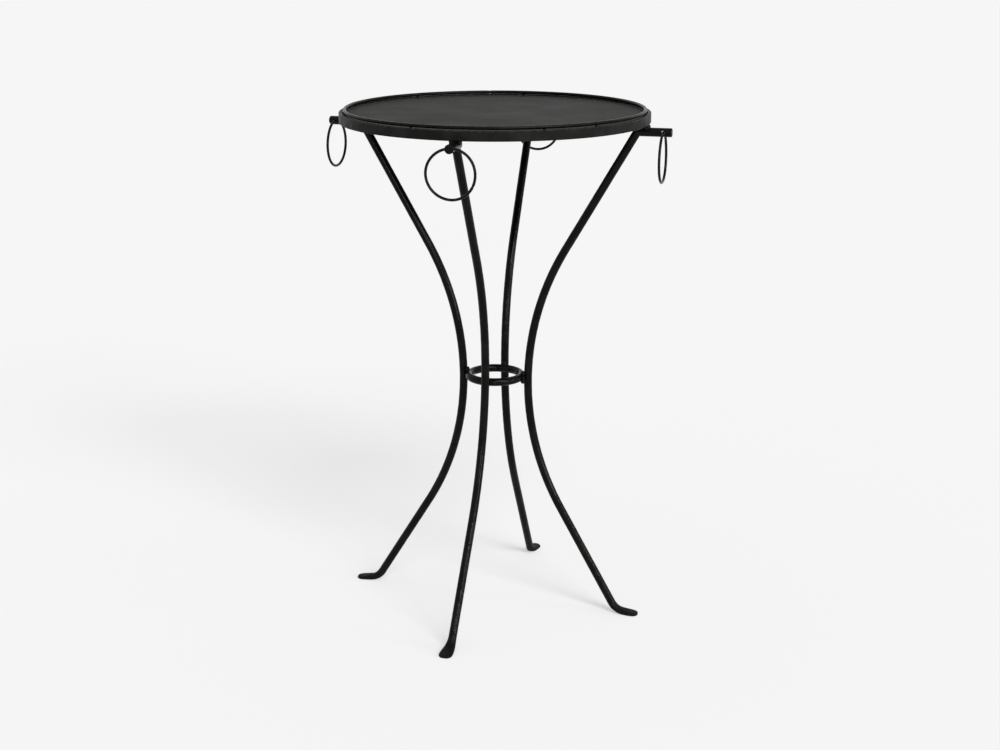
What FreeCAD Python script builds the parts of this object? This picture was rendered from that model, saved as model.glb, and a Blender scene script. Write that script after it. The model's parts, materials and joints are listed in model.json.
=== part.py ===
import FreeCAD, Part
import math
import os
import Sketcher
from FreeCAD import Placement, Rotation, Vector

# A round wrought iron side table. Four bent round bars stand around a small
# waist ring and carry a flat-bar hoop that holds a recessed sheet top. Under
# the hoop a short peg points outwards at each leg, and a loose wire ring hangs
# through a cross hole near its end.
# Lengths are in millimetres and angles in degrees. The origin is on the floor
# under the middle of the top, with Z up, the front leg on -Y and the right leg
# on +X.

SIZES = {
    # whole table
    "table_height": 750.0,
    # hoop of flat bar round the top
    "rim_outer_radius": 219.9,
    "band_height": 13.5,
    "band_thickness": 5.5,
    "band_corner": 0.8,
    # round wire lip that stands above the hoop, inside it
    "lip_wire_diameter": 5.0,
    "lip_gap": 0.7,
    "lip_side_gap": 0.2,
    # sheet top and the hidden inner ring that carries it
    "panel_thickness": 3.0,
    "panel_drop": 1.5,
    "panel_side_gap": 0.4,
    "panel_edge_break": 0.6,
    "ledge_width": 12.0,
    # legs, bent from round bar
    "bar_diameter": 12.0,
    "waist_radius": 49.9,
    "waist_height_share": 0.4698,
    "leg_bend_radius": 391.0,
    "least_limb_run": 100.0,
    "leg_top_inset": 11.4,
    # forged foot at the end of each leg
    "foot_bend_radius": 22.0,
    "foot_reach": 226.0,
    "foot_length": 31.7,
    "blade_width": 20.0,
    "blade_thickness": 4.6,
    "foot_overlap": 2.0,
    "foot_swell": 0.4,
    "sole_allowance": 0.8,
    # ring between the legs at the waist
    "waist_ring_bar_diameter": 11.6,
    "waist_ring_lift": 4.0,
    # pegs under the hoop, with a cross hole
    "peg_diameter": 12.4,
    "peg_gap": 0.2,
    "peg_overhang": 31.0,
    "peg_chamfer": 1.2,
    "ring_hole_inset": 9.5,
    # loose rings of round wire
    "ring_mean_radius": 33.0,
    "ring_wire_diameter": 3.8,
    "ring_clearance": 0.35,
    # weld beads
    "seam_bead": 3.2,
    "seam_bead_drop": 1.0,
    "peg_bead_drop": 1.6,
    "waist_bead_radius": 4.2,
    "waist_bead_inset": 0.7,
    "tack_radius": 1.7,
}

# The smith's own unevenness at each leg: the compass turn of the leg, how far
# its upper and lower halves lean sideways about the waist, how much further out
# its foot is set and how far that turns sideways, how far its peg hangs below
# the common gap and turns sideways, how much longer the peg is, how much further
# from its end the hole is, and how much wider its ring is.
LEGS = {
    "front": {"turn": -90.0, "upper_lean": -1.3, "lower_lean": -1.5, "foot_extra": -2.5, "foot_swing": 11.0,
              "peg_drop": 0.0, "peg_swing": 0.8, "peg_extra": -0.9, "hole_extra": -2.0, "ring_extra": 0.0},
    "right": {"turn": 0.0, "upper_lean": -1.7, "lower_lean": 0.0, "foot_extra": -2.8, "foot_swing": 2.0,
              "peg_drop": 3.3, "peg_swing": 0.0, "peg_extra": 1.1, "hole_extra": 3.0, "ring_extra": 1.8},
    "back": {"turn": 90.0, "upper_lean": -0.4, "lower_lean": -0.5, "foot_extra": -1.5, "foot_swing": 0.0,
             "peg_drop": 1.5, "peg_swing": 0.0, "peg_extra": -0.9, "hole_extra": 0.0, "ring_extra": 0.0},
    "left": {"turn": 180.0, "upper_lean": 0.7, "lower_lean": -2.6, "foot_extra": 5.5, "foot_swing": 20.0,
             "peg_drop": 2.8, "peg_swing": 0.0, "peg_extra": 2.1, "hole_extra": -0.4, "ring_extra": 0.0},
}

# Turns of the beads round a leg's top, counted from its outer side.
SEAM_TURNS = (113.0, 180.0, 247.0)
# Compass turns of the small tack welds between the lip wire and the hoop.
TACK_TURNS = (-150.0, -104.0, -56.0, -35.0, 2.0, 50.0, 95.0, 140.0)

# The forged foot starts in the bend: shares of the bend's turn, then of the
# blade's length, and at each of these sections the shares of the way from the
# round bar to the full width and to the full thinness. The last one lies a
# little beyond the nose, which is cut back to its arc.
BEND_TURN_SHARES = (0.33, 0.66, 1.0)
BEND_WIDTH_SHARES = (0.12, 0.42, 0.78)
BEND_THINNING_SHARES = (0.05, 0.25, 0.52)
BLADE_LENGTH_SHARES = (0.4, 0.75, 1.05)
BLADE_WIDTH_SHARES = (1.0, 1.0, 0.92)
BLADE_THINNING_SHARES = (0.85, 1.0, 1.15)
# Squareness of each section: 2 is an ellipse, more is flatter with rounder corners.
BEND_SQUARENESS = (2.0, 2.1, 2.4)
BLADE_SQUARENESS = (2.8, 3.2, 3.2)
SECTION_POINTS = 28

# The nose of the blade is cut to an arc a little wider than the blade.
NOSE_RADIUS_SHARE = 0.54
# Cutting bodies run past what they cut by this share of the table's height.
OVERRUN_SHARE = 0.02
# Beads beside a peg sit this share of its radius from its middle, and grow with
# the gap over the peg by the second share.
PEG_BEAD_SIDE_SHARE = 0.9
PEG_BEAD_GROWTH_SHARE = 0.25

doc = FreeCAD.newDocument("Gueridon")
sheet = doc.addObject("Spreadsheet::Sheet", "Sizes")


def splay_formula(rise, reach):
    """Angle off plumb of the straight limb that leaves the waist bend and ends at a rise and a reach."""
    inward = "(leg_bend_centre - %s)" % reach
    slant = "sqrt(%s ^ 2 + %s ^ 2)" % (inward, rise)
    return "(atan2(%s; %s) - acos(leg_bend / %s)) / 1 deg" % (rise, inward, slant)


def bend_limit(rise, reach):
    """Largest waist bend that leaves the least straight run on a limb with this rise and reach."""
    outward = "(%s - waist_radius)" % reach
    return "(%s ^ 2 + %s ^ 2 - least_limb_run ^ 2) / (2 * %s)" % (rise, outward, outward)


def fill_sheet():
    """Writes every driving size, and each leg's own values, into the sheet."""
    rows = dict(SIZES)
    for side, values in LEGS.items():
        for name, value in values.items():
            rows[side + "_" + name] = value
    for row, (alias, value) in enumerate(rows.items(), start=1):
        sheet.set("A%d" % row, alias.replace("_", " "))
        sheet.set("B%d" % row, str(value))
        sheet.setAlias("B%d" % row, alias)
    derived = {
        "band_top": "table_height - lip_wire_diameter - lip_gap",
        "band_bottom": "band_top - band_height",
        "band_inner_radius": "rim_outer_radius - band_thickness",
        "lip_ring_radius": "band_inner_radius - lip_side_gap - lip_wire_diameter / 2",
        "panel_top": "band_top - panel_drop",
        "panel_bottom": "panel_top - panel_thickness",
        "panel_radius": "band_inner_radius - panel_side_gap",
        "ledge_inner_radius": "band_inner_radius - ledge_width",
        "bar_radius": "bar_diameter / 2",
        "waist_height": "table_height * waist_height_share",
        "waist_ring_radius": "waist_radius - bar_radius - waist_ring_bar_diameter / 2",
        "waist_ring_height": "waist_height + waist_ring_lift",
        "leg_top_reach": "rim_outer_radius - leg_top_inset",
        "upper_rise": "band_bottom - waist_height",
        "upper_bend_limit": bend_limit("upper_rise", "leg_top_reach"),
        "lower_bend_limit": bend_limit("waist_height", "(foot_reach - foot_length)"),
        "leg_bend": "min(leg_bend_radius; upper_bend_limit; lower_bend_limit)",
        "leg_bend_centre": "waist_radius + leg_bend",
        "upper_splay": splay_formula("upper_rise", "leg_top_reach"),
        "floor_line": "bar_radius - sole_allowance",
        "overrun": "table_height * %s" % OVERRUN_SHARE,
    }
    for side in LEGS:
        own = {
            "foot_tip": "foot_reach + %s_foot_extra",
            "foot_root": "%s_foot_tip - foot_length",
            "lower_splay": splay_formula("waist_height", "%s_foot_root"),
            "peg_height": "band_bottom - peg_gap - %s_peg_drop - peg_diameter / 2",
            "peg_root": "leg_top_reach - (band_bottom - %s_peg_height) * tan(upper_splay * 1 deg)",
            "peg_end": "rim_outer_radius + peg_overhang + %s_peg_extra",
            "hole_reach": "%s_peg_end - ring_hole_inset - %s_hole_extra",
            "ring_radius": "ring_mean_radius + %s_ring_extra",
            "hole_radius": "ring_wire_diameter / 2 + ring_clearance + %s_ring_radius"
                           " - sqrt(%s_ring_radius ^ 2 - (peg_diameter / 2) ^ 2)",
        }
        for name, formula in own.items():
            derived[side + "_" + name] = formula.replace("%s", side)
    start = len(rows) + 1
    for row, (alias, formula) in enumerate(derived.items(), start=start):
        sheet.set("A%d" % row, alias.replace("_", " "))
        sheet.set("B%d" % row, "=" + formula)
        sheet.setAlias("B%d" % row, alias)
    doc.recompute()


def size(alias):
    """Current value of a named size."""
    return float(sheet.get(alias))


def bind(thing, prop, formula):
    """Ties a property to the sheet; sizes are written by their alias."""
    thing.setExpression(prop, formula)


def plane_of(body, role):
    return next(item for item in body.Origin.OriginFeatures if item.Role == role)


def new_body(name):
    return doc.addObject("PartDesign::Body", name)


def new_sketch(body, name, role, height=None):
    """Empty sketch on one of the body's own planes, raised by a formula if one is given."""
    sketch = body.newObject("Sketcher::SketchObject", name)
    sketch.AttachmentSupport = [(plane_of(body, role), "")]
    sketch.MapMode = "FlatFace"
    if height:
        bind(sketch, "AttachmentOffset.Base.z", height)
    return sketch


def dimension(sketch, name, formula, kind, *where):
    """Adds a driving dimension and ties it to the sheet."""
    index = sketch.addConstraint(Sketcher.Constraint(kind, *where))
    sketch.renameConstraint(index, name)
    bind(sketch, "Constraints." + name, formula)


def circle_sketch(body, name, role, x_formula, x_value, radius_formula, radius_value, height=None):
    """Circle centred on the sketch's horizontal axis."""
    sketch = new_sketch(body, name, role, height)
    sketch.addGeometry(Part.Circle(Vector(x_value, 0, 0), Vector(0, 0, 1), radius_value))
    sketch.addConstraint(Sketcher.Constraint("PointOnObject", 0, 3, -1))
    dimension(sketch, "reach", x_formula, "DistanceX", -1, 1, 0, 3, x_value)
    dimension(sketch, "radius", radius_formula, "Radius", 0, radius_value)
    return sketch


def revolved_ring(name, inner, outer, low, high, breaks=()):
    """Ring with a rectangular section between two radii and two heights."""
    body = new_body(name)
    sketch = new_sketch(body, name + "_section", "XZ_Plane")
    x0, x1, z0, z1 = size(inner), size(outer), size(low), size(high)
    corners = [Vector(x0, z0, 0), Vector(x1, z0, 0), Vector(x1, z1, 0), Vector(x0, z1, 0)]
    for first, second in zip(corners, corners[1:] + corners[:1]):
        sketch.addGeometry(Part.LineSegment(first, second))
    for line in range(4):
        sketch.addConstraint(Sketcher.Constraint("Coincident", line, 2, (line + 1) % 4, 1))
        sketch.addConstraint(Sketcher.Constraint("Vertical" if line % 2 else "Horizontal", line))
    dimension(sketch, "inner", "Sizes." + inner, "DistanceX", -1, 1, 0, 1, x0)
    dimension(sketch, "outer", "Sizes." + outer, "DistanceX", -1, 1, 0, 2, x1)
    dimension(sketch, "low", "Sizes." + low, "DistanceY", -1, 1, 0, 1, z0)
    dimension(sketch, "high", "Sizes." + high, "DistanceY", -1, 1, 2, 1, z1)
    turn = body.newObject("PartDesign::Revolution", name + "_turn")
    turn.Profile = sketch
    turn.ReferenceAxis = (sketch, ["V_Axis"])
    doc.recompute()
    if breaks:
        soften = body.newObject("PartDesign::" + breaks[0], name + "_edges")
        soften.Base = (turn, ["Edge%d" % (i + 1) for i in range(len(turn.Shape.Edges))
                              if is_full_circle(turn.Shape.Edges[i]) and breaks[2](turn.Shape.Edges[i])])
        bind(soften, "Radius" if breaks[0] == "Fillet" else "Size", "Sizes." + breaks[1])
        doc.recompute()
    return body


def is_full_circle(edge):
    return isinstance(edge.Curve, Part.Circle) and edge.isClosed()


def lean_about_waist(sketch, lean):
    """Turns an upright sketch about the level line through the waist, by a leg's sideways lean."""
    angle = lean + " * 1 deg"
    shift = "vector(0; Sizes.waist_height * (1 - cos({0})); -Sizes.waist_height * sin({0}))"
    bind(sketch, "AttachmentOffset",
         "placement(%s; rotation(vector(1; 0; 0); %s))" % (shift.format(angle), angle))


def limb_path(body, side, upwards):
    """Path of half a leg: an arc from the waist, then a straight limb that ends
    at the hoop or where the foot begins to turn outwards."""
    half = "upper" if upwards else "lower"
    sketch = new_sketch(body, "%s_%s_path" % (side, half), "XZ_Plane")
    lean_about_waist(sketch, "Sizes.%s_%s_lean" % (side, half))
    stretch = 1 / math.cos(math.radians(LEGS[side][half + "_lean"]))
    height = size("waist_height")
    bend, centre = size("leg_bend"), size("leg_bend_centre")
    splay_name = "upper_splay" if upwards else side + "_lower_splay"
    splay = math.radians(size(splay_name))
    sign = 1 if upwards else -1
    bend_end = Vector(centre - bend * math.cos(splay), height + sign * bend * math.sin(splay), 0)
    along = Vector(math.sin(splay), sign * math.cos(splay), 0)
    if upwards:
        stop = size("band_bottom") + size("overrun")
        arc_range, near, far = (math.pi - splay, math.pi), 2, 1
    else:
        foot, floor_line = size("foot_bend_radius"), height - (height - size("floor_line")) * stretch
        stop = floor_line + foot * (1 - math.sin(splay))
        arc_range, near, far = (math.pi, math.pi + splay), 1, 2
    limb_end = bend_end + along * ((stop - bend_end.y) / along.y)
    circle = Part.Circle(Vector(centre, height, 0), Vector(0, 0, 1), bend)
    sketch.addGeometry(Part.ArcOfCircle(circle, *arc_range))
    sketch.addGeometry(Part.LineSegment(bend_end, limb_end))
    sketch.addConstraint(Sketcher.Constraint("Tangent", 0, far, 1, 1))
    sketch.addConstraint(Sketcher.Constraint("Horizontal", 0, 3, 0, near))
    dimension(sketch, "centre_x", "Sizes.leg_bend_centre", "DistanceX", -1, 1, 0, 3, centre)
    dimension(sketch, "centre_z", "Sizes.waist_height", "DistanceY", -1, 1, 0, 3, height)
    dimension(sketch, "bend", "Sizes.leg_bend", "Radius", 0, bend)
    dimension(sketch, "splay", "Sizes.%s * 1 deg" % splay_name, "Angle", 0, splay)
    level = "Sizes.band_bottom + Sizes.overrun"
    if not upwards:
        level = ("Sizes.waist_height - (Sizes.waist_height - Sizes.floor_line) / cos(Sizes.{0}_lower_lean * 1 deg)"
                 " + Sizes.foot_bend_radius * (1 - sin(Sizes.{0}_lower_splay * 1 deg))").format(side)
    dimension(sketch, "stop", level, "DistanceY", -1, 1, 1, 2, stop)
    return sketch


def foot_start(side):
    """Place over +X, before the leg's turn, at which the round bar turns level."""
    splay = math.radians(size(side + "_lower_splay"))
    lean = math.radians(LEGS[side]["lower_lean"])
    bend, fall = size("leg_bend"), size("waist_height") - size("floor_line")
    drop = fall / math.cos(lean) - bend * math.sin(splay)
    limb_foot = size("leg_bend_centre") - bend * math.cos(splay) + drop * math.tan(splay)
    out = limb_foot + size("foot_bend_radius") * math.tan(math.pi / 4 - splay / 2)
    return Vector(out, fall * math.tan(lean), 0)


def bend_place(side, share, shift, back=0.0):
    """Place and heading at a share of the foot bend's turn, shifted to the outside of the
    bend, and moved back along the heading."""
    pitch = (math.pi / 2 - math.radians(size(side + "_lower_splay"))) * (1 - share)
    lean, waist = math.radians(LEGS[side]["lower_lean"]), size("waist_height")
    reach = size("foot_bend_radius") + shift
    middle = size("foot_bend_radius") - (waist - size("floor_line")) / math.cos(lean)
    spot = Vector(foot_start(side).x - reach * math.sin(pitch), 0, middle - reach * math.cos(pitch))
    spot = spot - Vector(math.cos(pitch), 0, -math.sin(pitch)) * back
    upright = Placement(spot, Rotation(Vector(0, 1, 0), math.degrees(pitch)))
    tilt = Placement(Vector(0, 0, waist), Rotation(Vector(1, 0, 0), math.degrees(lean)))
    return tilt.multiply(upright)


def blade_place(side, share, rise=0.0):
    """Place and heading at a share of the blade's length, which swings round an arc."""
    start = foot_start(side)
    length = size(side + "_foot_tip") - start.x
    swing = math.radians(LEGS[side]["foot_swing"]) * share
    chord = length * share
    spot = start + Vector(chord * math.cos(swing / 2), chord * math.sin(swing / 2), rise)
    return Placement(spot, Rotation(Vector(0, 0, 1), math.degrees(swing)))


def blade_section(name, place, width, thickness, squareness):
    """Closed section of the forged foot, standing across it."""
    half_w, half_t = width / 2, thickness / 2
    if width == thickness:
        curve = Part.Circle(Vector(0, 0, 0), Vector(0, 0, 1), half_w)
    else:
        points = []
        for step in range(SECTION_POINTS):
            turn = 2 * math.pi * step / SECTION_POINTS
            c, s = math.cos(turn), math.sin(turn)
            points.append(Vector(half_t * math.copysign(abs(c) ** (2 / squareness), c),
                                 half_w * math.copysign(abs(s) ** (2 / squareness), s), 0))
        curve = Part.BSplineCurve()
        curve.interpolate(Points=points, PeriodicFlag=True)
    section = doc.addObject("Part::Feature", name)
    section.Shape = Part.Wire([curve.toShape()])
    across = Placement(Vector(0, 0, 0), Rotation(Vector(0, 1, 0), 90))
    section.Placement = place.multiply(across)
    return section


def forged_foot(side):
    """Foot drawn out of the round bar, through the bend, to a thin round-nosed blade."""
    bar, width, thin = size("bar_diameter"), size("blade_width"), size("blade_thickness")
    length = size(side + "_foot_tip") - foot_start(side).x
    swollen = bar + size("foot_swell")
    root = bend_place(side, 0, 0, size("foot_overlap"))
    sections = [blade_section(side + "_foot_root", root, swollen, swollen, BEND_SQUARENESS[0])]
    stations = ([(True,) + row for row in zip(BEND_TURN_SHARES, BEND_WIDTH_SHARES,
                                              BEND_THINNING_SHARES, BEND_SQUARENESS)]
                + [(False,) + row for row in zip(BLADE_LENGTH_SHARES, BLADE_WIDTH_SHARES,
                                                 BLADE_THINNING_SHARES, BLADE_SQUARENESS)])
    for index, (bent, share, width_share, thinning_share, squareness) in enumerate(stations):
        grown = bar + (width - bar) * width_share
        drawn = bar - (bar - thin - size("sole_allowance")) * thinning_share
        if bent:
            place = bend_place(side, share, (bar - drawn) / 2)
        else:
            place = blade_place(side, share, drawn / 2 - size("sole_allowance"))
        sections.append(blade_section("%s_foot_%d" % (side, index), place, grown, drawn, squareness))
    loft = doc.addObject("Part::Loft", side + "_foot")
    loft.Sections = sections
    loft.Solid = True
    nose_radius = width * NOSE_RADIUS_SHARE
    tip = blade_place(side, 1.0, -bar / 2)
    nose = doc.addObject("Part::Cylinder", side + "_nose")
    nose.Radius = nose_radius
    nose.Height = bar * 2
    nose.Placement = tip.multiply(Placement(Vector(-nose_radius, 0, 0), Rotation()))
    back = length + size("foot_bend_radius") + bar * 2
    shank = doc.addObject("Part::Box", side + "_shank")
    shank.Length = back - nose_radius
    shank.Width = width * 4
    shank.Height = size("foot_bend_radius") * 2 + bar * 2
    shank.Placement = tip.multiply(Placement(Vector(-back, -width * 2, 0), Rotation()))
    outline = doc.addObject("Part::Fuse", side + "_foot_outline")
    outline.Base = shank
    outline.Tool = nose
    foot = doc.addObject("Part::Common", side + "_nosed_foot")
    foot.Base = loft
    foot.Tool = outline
    return foot


def around(turn, local):
    """Placement drawn over +X, moved to a compass turn."""
    return Placement(Vector(0, 0, 0), Rotation(Vector(0, 0, 1), turn)).multiply(local)


def standing_room():
    """Block between the floor and the underside of the hoop."""
    block = doc.addObject("Part::Box", "standing_room")
    for prop in ("Length", "Width"):
        bind(block, prop, "Sizes.rim_outer_radius * 4")
    bind(block, "Height", "Sizes.band_bottom")
    bind(block, "Placement.Base.x", "-Sizes.rim_outer_radius * 2")
    bind(block, "Placement.Base.y", "-Sizes.rim_outer_radius * 2")
    return block


def make_leg(side, room):
    """One bent bar with its forged foot, cut level at the hoop and at the floor."""
    bar = new_body(side + "_bar")
    for half, upwards in (("upper", True), ("lower", False)):
        section = circle_sketch(bar, "%s_%s_section" % (side, half), "XY_Plane",
                                "Sizes.waist_radius", size("waist_radius"),
                                "Sizes.bar_radius", size("bar_radius"), "Sizes.waist_height")
        path = limb_path(bar, side, upwards)
        doc.recompute()
        limb = bar.newObject("PartDesign::AdditivePipe", "%s_%s_limb" % (side, half))
        limb.Profile = section
        limb.Spine = (path, [])
        doc.recompute()
    whole = doc.addObject("Part::MultiFuse", side + "_leg_blank")
    whole.Shapes = [bar, forged_foot(side)]
    doc.recompute()
    whole.Placement = around(LEGS[side]["turn"], Placement())
    leg = doc.addObject("Part::Common", "leg_" + side)
    leg.Base = whole
    leg.Tool = room
    doc.recompute()
    return leg


def leg_centre_at(side, height):
    """Centre of a leg's straight upper limb at a height, over its own compass turn."""
    splay = math.radians(size("upper_splay"))
    lean = math.radians(LEGS[side]["upper_lean"])
    rise = (height - size("waist_height")) / math.cos(lean)
    bend = size("leg_bend")
    out = size("leg_bend_centre") - bend * math.cos(splay)
    out += (rise - bend * math.sin(splay)) * math.tan(splay)
    return Vector(out, -math.sin(lean) * rise, height)


def peg_turn(side):
    """Compass turn of a peg: out from the table's axis through the leg's top, and its own swing."""
    top = leg_centre_at(side, size(side + "_peg_height"))
    return LEGS[side]["turn"] + LEGS[side]["peg_swing"] + math.degrees(math.atan2(top.y, top.x))


def make_peg(side, leg):
    """Round peg welded under the hoop, coped to the leg, with a cross hole for its ring."""
    body = new_body(side + "_peg_bar")
    section = circle_sketch(body, side + "_peg_section", "YZ_Plane", "0", 0,
                            "Sizes.peg_diameter / 2", size("peg_diameter") / 2,
                            "Sizes.%s_peg_root" % side)
    bar = body.newObject("PartDesign::Pad", side + "_peg_pad")
    bar.Profile = section
    bind(bar, "Length", "Sizes.{0}_peg_end - Sizes.{0}_peg_root".format(side))
    doc.recompute()
    rim = max((edge for edge in bar.Shape.Edges if is_full_circle(edge)), key=lambda e: e.CenterOfMass.x)
    names = ["Edge%d" % (i + 1) for i, edge in enumerate(bar.Shape.Edges) if edge.isSame(rim)]
    end = body.newObject("PartDesign::Chamfer", side + "_peg_end")
    end.Base = (bar, names)
    bind(end, "Size", "Sizes.peg_chamfer")
    doc.recompute()
    bore = circle_sketch(body, side + "_ring_hole", "XZ_Plane",
                         "Sizes.%s_hole_reach" % side, size(side + "_hole_reach"),
                         "Sizes.%s_hole_radius" % side, size(side + "_hole_radius"))
    cut = body.newObject("PartDesign::Pocket", side + "_ring_hole_cut")
    cut.Profile = bore
    cut.Type = "ThroughAll"
    cut.Midplane = True
    doc.recompute()
    body.Placement = around(peg_turn(side), Placement(Vector(0, 0, size(side + "_peg_height")), Rotation()))
    peg = doc.addObject("Part::Cut", "peg_" + side)
    peg.Base = body
    peg.Tool = leg
    doc.recompute()
    return peg


def make_hanging_ring(side):
    """Loose ring that hangs from the cross hole, square to its peg."""
    ring = doc.addObject("Part::Torus", "hanging_ring_" + side)
    bind(ring, "Radius1", "Sizes.%s_ring_radius" % side)
    bind(ring, "Radius2", "Sizes.ring_wire_diameter / 2")
    middle = size(side + "_peg_height") - size(side + "_ring_radius")
    upright = Placement(Vector(size(side + "_hole_reach"), 0, middle), Rotation(Vector(0, 1, 0), 90))
    ring.Placement = around(peg_turn(side), upright)
    return ring


def sphere(name, turn, centre, radius):
    ball = doc.addObject("Part::Sphere", name)
    ball.Radius = radius
    ball.Placement = around(turn, Placement(centre, Rotation()))
    return ball


def trimmed(name, blank, neighbours):
    """Weld bead cut back, one by one, to the faces of the pieces that it joins."""
    for neighbour in neighbours:
        cut = doc.addObject("Part::Cut", "%s_less_%s" % (name, neighbour.Label))
        cut.Base = blank
        cut.Tool = neighbour
        blank = cut
    doc.recompute()
    return blank


def grouped(name, beads):
    """All beads of one kind as one node of separate solids."""
    group = doc.addObject("Part::Compound", name)
    group.Links = beads
    doc.recompute()
    return group


def below_hoop(name, shape):
    part = doc.addObject("Part::Common", name)
    part.Base = shape
    part.Tool = doc.getObject("standing_room")
    return part


def seam_beads(side, peg, leg):
    """Three beads round the inner half of a leg's top, in the corner under the inner ring."""
    top = leg_centre_at(side, size("band_bottom"))
    across = size("bar_radius")
    outwards = across / math.cos(math.radians(size("upper_splay")))
    beads = []
    for index, turn in enumerate(SEAM_TURNS):
        name = "%s_seam_bead_%d" % (side, index)
        place = Vector(outwards * math.cos(math.radians(turn)), across * math.sin(math.radians(turn)), 0)
        drop = Vector(0, 0, size("seam_bead_drop"))
        ball = sphere(name, LEGS[side]["turn"], top + place - drop, size("seam_bead"))
        beads.append(trimmed(name, below_hoop(name + "_blank", ball), [leg, peg]))
    return beads


def waist_beads(side, leg, waist):
    """Two small beads in the crotch between a leg and the waist ring."""
    reach = size("waist_radius") - size("bar_radius") + size("waist_bead_inset")
    offset = size("waist_ring_bar_diameter") / 2
    beads = []
    for place, sign in (("above", 1), ("below", -1)):
        name = "%s_waist_bead_%s" % (side, place)
        centre = Vector(reach, 0, size("waist_ring_height") + sign * offset)
        ball = sphere(name, LEGS[side]["turn"], centre, size("waist_bead_radius"))
        beads.append(trimmed(name, ball, [leg, waist]))
    return beads


def peg_beads(side, peg, leg):
    """Beads on both flanks of a peg, which fill the corner under the hoop."""
    flank = size("peg_diameter") / 2 * PEG_BEAD_SIDE_SHARE
    reach = size("rim_outer_radius") - size("band_thickness") / 2
    growth = LEGS[side]["peg_drop"] * PEG_BEAD_GROWTH_SHARE
    beads = []
    for place, sign in (("near", 1), ("far", -1)):
        name = "%s_peg_bead_%s" % (side, place)
        centre = Vector(reach, sign * flank, size("band_bottom") - size("peg_bead_drop") - growth)
        ball = sphere(name, peg_turn(side), centre, size("seam_bead") + growth)
        beads.append(trimmed(name, below_hoop(name + "_blank", ball), [peg, leg]))
    return beads


def tack_bead(index, turn, neighbours):
    """Short tack weld that holds the lip wire to the top of the hoop."""
    name = "tack_%d" % index
    centre = Vector(size("band_inner_radius"), 0, size("band_top") + size("lip_gap") / 2)
    return trimmed(name, sphere(name, turn, centre, size("tack_radius")), neighbours)


def make_model():
    """Builds every piece and returns the ones that are handed in."""
    inner_edges = ("Fillet", "band_corner", lambda edge: True)
    band = revolved_ring("rim_band", "band_inner_radius", "rim_outer_radius",
                         "band_bottom", "band_top", inner_edges)
    ledge = revolved_ring("panel_ledge", "ledge_inner_radius", "band_inner_radius",
                          "band_bottom", "panel_bottom")
    panel = new_body("top_panel")
    disc = circle_sketch(panel, "panel_outline", "XY_Plane", "0", 0, "Sizes.panel_radius",
                         size("panel_radius"), "Sizes.panel_bottom")
    pad = panel.newObject("PartDesign::Pad", "panel_sheet")
    pad.Profile = disc
    bind(pad, "Length", "Sizes.panel_thickness")
    doc.recompute()
    rims = ["Edge%d" % (i + 1) for i, edge in enumerate(pad.Shape.Edges) if is_full_circle(edge)]
    broken = panel.newObject("PartDesign::Chamfer", "panel_edges")
    broken.Base = (pad, rims)
    bind(broken, "Size", "Sizes.panel_edge_break")
    lip = doc.addObject("Part::Torus", "lip_ring")
    bind(lip, "Radius1", "Sizes.lip_ring_radius")
    bind(lip, "Radius2", "Sizes.lip_wire_diameter / 2")
    bind(lip, "Placement.Base.z", "Sizes.table_height - Sizes.lip_wire_diameter / 2")
    waist = doc.addObject("Part::Torus", "waist_ring")
    bind(waist, "Radius1", "Sizes.waist_ring_radius")
    bind(waist, "Radius2", "Sizes.waist_ring_bar_diameter / 2")
    bind(waist, "Placement.Base.z", "Sizes.waist_ring_height")
    doc.recompute()
    room = standing_room()
    legs = [make_leg(side, room) for side in LEGS]
    pegs = [make_peg(side, leg) for side, leg in zip(LEGS, legs)]
    rings = [make_hanging_ring(side) for side in LEGS]
    seams = [bead for side, peg, leg in zip(LEGS, pegs, legs) for bead in seam_beads(side, peg, leg)]
    flanks = [bead for side, peg, leg in zip(LEGS, pegs, legs) for bead in peg_beads(side, peg, leg)]
    crotches = [bead for side, leg in zip(LEGS, legs) for bead in waist_beads(side, leg, waist)]
    tacks = [tack_bead(index, turn, [band, lip]) for index, turn in enumerate(TACK_TURNS)]
    welds = [grouped("leg_top_welds", seams), grouped("peg_welds", flanks),
             grouped("waist_welds", crotches), grouped("lip_tacks", tacks)]
    return [band, ledge, panel, lip, waist] + legs + pegs + rings + welds


def check(nodes):
    """Stops if any object of the document failed or any piece is not sound."""
    for thing in doc.Objects:
        bad = [state for state in thing.State if state in ("Invalid", "Error")]
        if bad:
            raise RuntimeError("%s is %s" % (thing.Name, bad))
    for node in nodes:
        shape = node.Shape
        if shape.isNull() or not shape.isValid() or not shape.Solids:
            raise RuntimeError("%s has no sound solid" % node.Label)


def export(nodes):
    os.makedirs("parts", exist_ok=True)
    for node in nodes:
        node.Shape.exportStep("parts/%s.step" % node.Label)
        print("%-22s solids %2d  volume %10.1f mm3" % (node.Label, len(node.Shape.Solids), node.Shape.Volume))


fill_sheet()
pieces = make_model()
doc.recompute()
check(pieces)
export(pieces)
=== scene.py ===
import json
import math

import bpy
from mathutils import Matrix, Vector
from mathutils.geometry import intersect_line_line


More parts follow.
